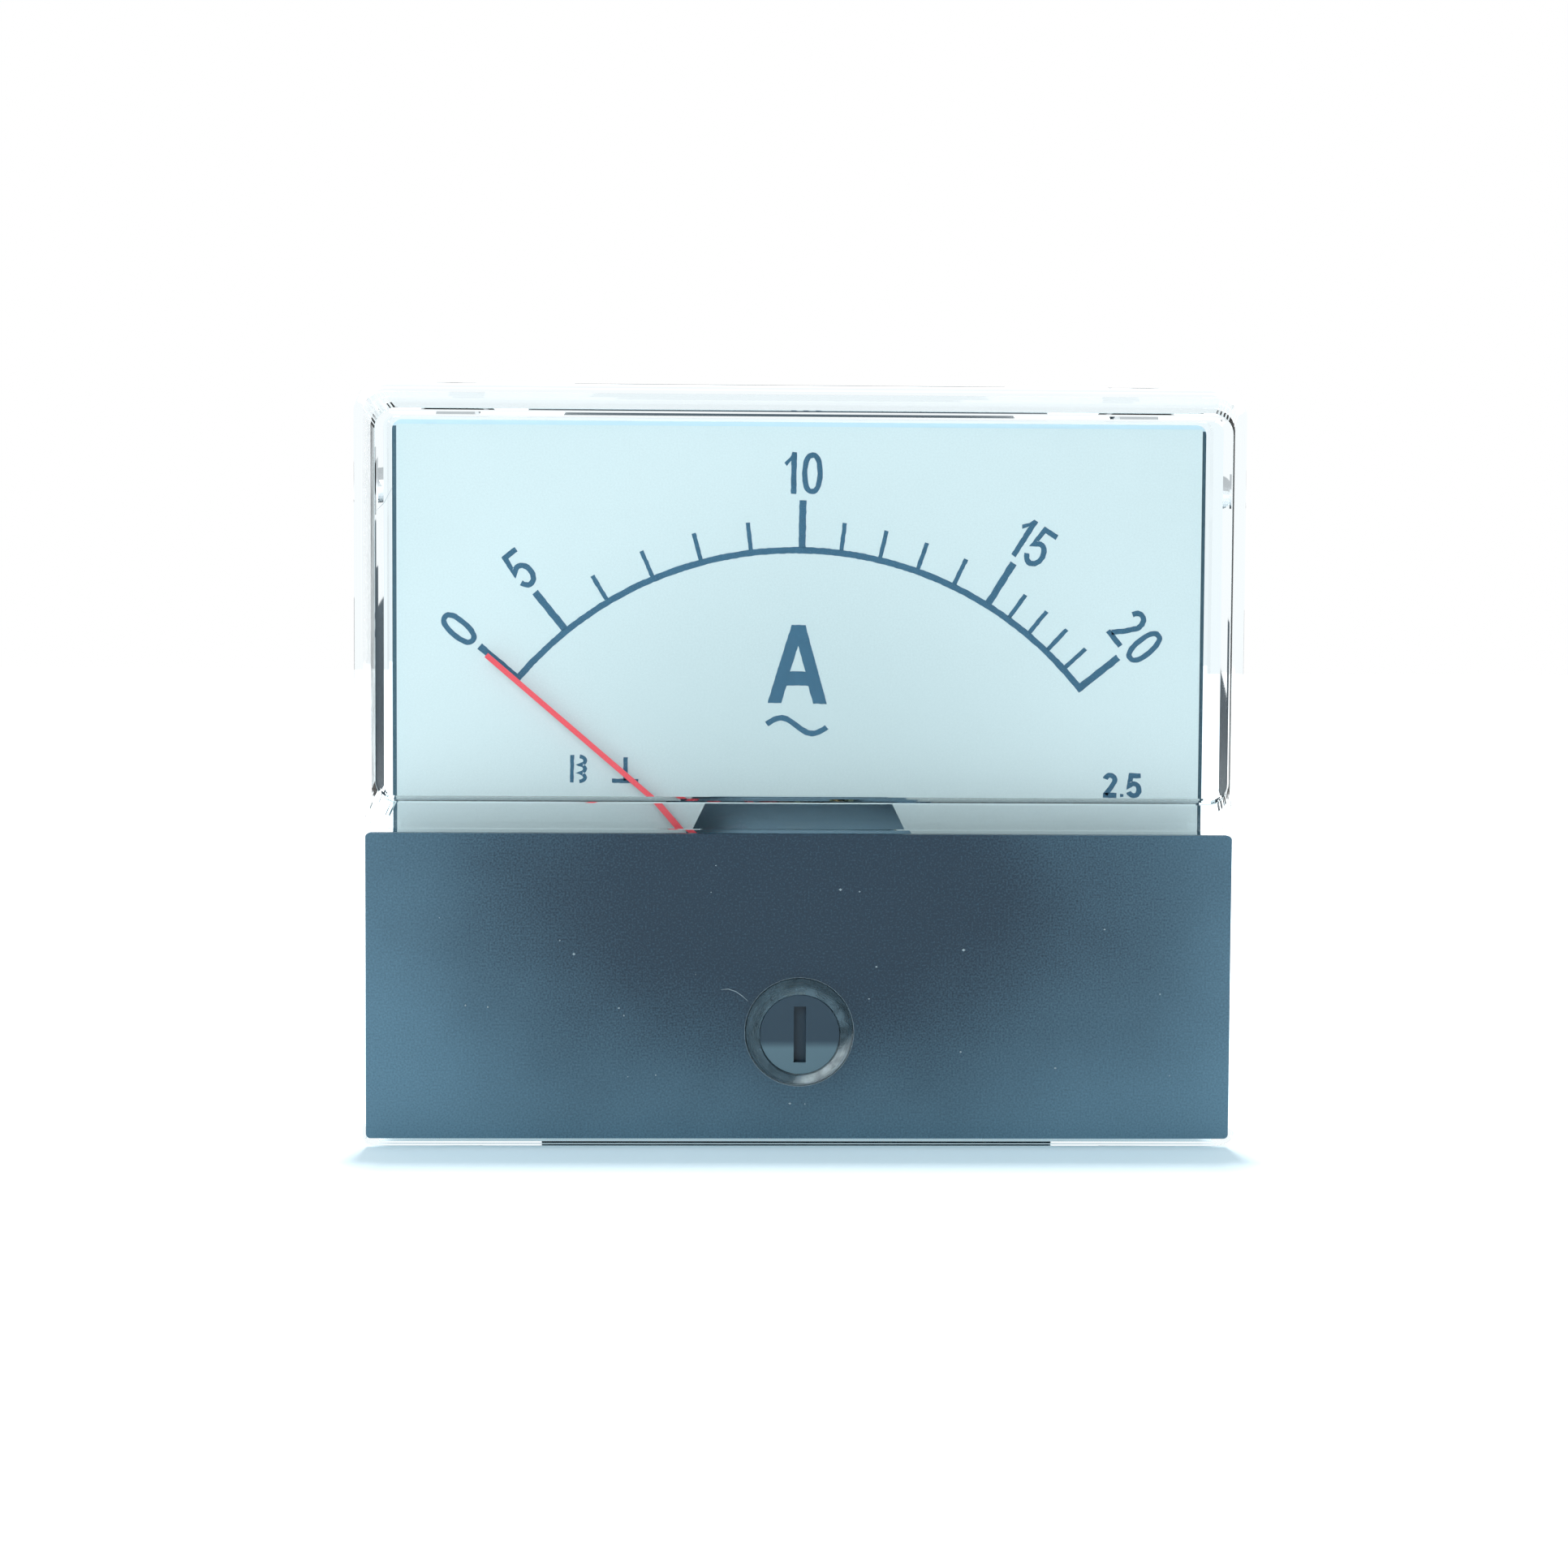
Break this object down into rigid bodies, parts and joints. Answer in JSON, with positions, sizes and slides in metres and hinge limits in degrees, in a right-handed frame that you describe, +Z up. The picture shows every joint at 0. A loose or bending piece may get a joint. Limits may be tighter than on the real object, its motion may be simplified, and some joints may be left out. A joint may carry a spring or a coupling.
{
  "type": "analog panel meter",
  "caption": "Rectangular analog panel meter with a clear window over a curved scale, a red pointer, a black lower panel with a zero adjuster, and a round barrel behind.",
  "frame": {"origin": "middle of the flat back of the flange, on the barrel's axis, where the meter seats on the panel", "axes": "+X to the right of the dial, +Y back through the panel along the barrel, +Z up"},
  "size_m": [0.07, 0.0576, 0.06],
  "materials": {
    "clear_polystyrene": "clear moulded polystyrene, glossy",
    "black_gloss_plastic": "black, glossy",
    "black_screw_plastic": "black, semi-gloss",
    "black_housing_plastic": "black moulded, satin",
    "dial_paint": "white paint on aluminium sheet, matt",
    "pointer_red": "red paint, satin",
    "steel": "zinc plated",
    "brass": "turned, bright",
    "bronze": "phosphor bronze strip",
    "bobbin_plastic": "natural nylon",
    "enamelled_copper": "enamelled copper",
    "soft_iron": "dark annealed iron",
    "aluminium": "bright sheet"
  },
  "bodies": {
    "meter": {"cover": "clear_polystyrene", "lower_panel": "black_gloss_plastic", "base_housing": "black_housing_plastic", "dial_plate": "dial_paint", "dial_screws": "steel", "front_bridge": "brass", "bridge_screws": "steel", "front_jewel_screw": "brass", "rear_jewel_screw": "brass", "jewel_locknuts": "brass", "movement_frame": "black_housing_plastic", "frame_screws": "steel", "bobbin": "bobbin_plastic", "coil": "enamelled_copper", "fixed_vane": "soft_iron", "damping_magnets": "soft_iron", "rear_bridge": "black_housing_plastic", "lead_strips": "enamelled_copper", "terminal_studs": "brass", "terminal_nuts": "brass", "terminal_washers": "brass", "spring_washers": "steel", "mounting_studs": "steel", "mounting_nuts": "steel", "mounting_washers": "steel"},
    "moving_system": {"pointer": "pointer_red", "balance_cross": "brass", "balance_weights": "brass", "spindle": "steel", "spring_collet": "brass", "moving_vane": "soft_iron", "damping_vane": "aluminium"},
    "adjuster": {"adjuster_screw": "black_screw_plastic", "adjuster_clip": "steel"},
    "zero_setting": {"zero_lever": "brass", "hairspring": "bronze"}
  },
  "joints": [
    {"name": "pointer_swing", "type": "hinge", "parent": "meter", "child": "moving_system", "pos_m": [0, 0, -0.0125], "axis": [0, 1, 0], "range_deg": [0, 100.8], "stiffness_Nm_per_rad": 0.0001},
    {"name": "adjuster_turn", "type": "hinge", "parent": "meter", "child": "adjuster", "pos_m": [0, 0, -0.0207], "axis": [0, 1, 0], "range_deg": [-40, 40]},
    {"name": "zero_lever_turn", "type": "hinge", "parent": "meter", "child": "zero_setting", "pos_m": [0, 0, -0.0125], "axis": [0, 1, 0], "range_deg": [-8.2, 8.2]}
  ],
  "couplings": [
    {"joint": "zero_lever_turn", "follows": "adjuster_turn", "ratio": -0.205}
  ]
}
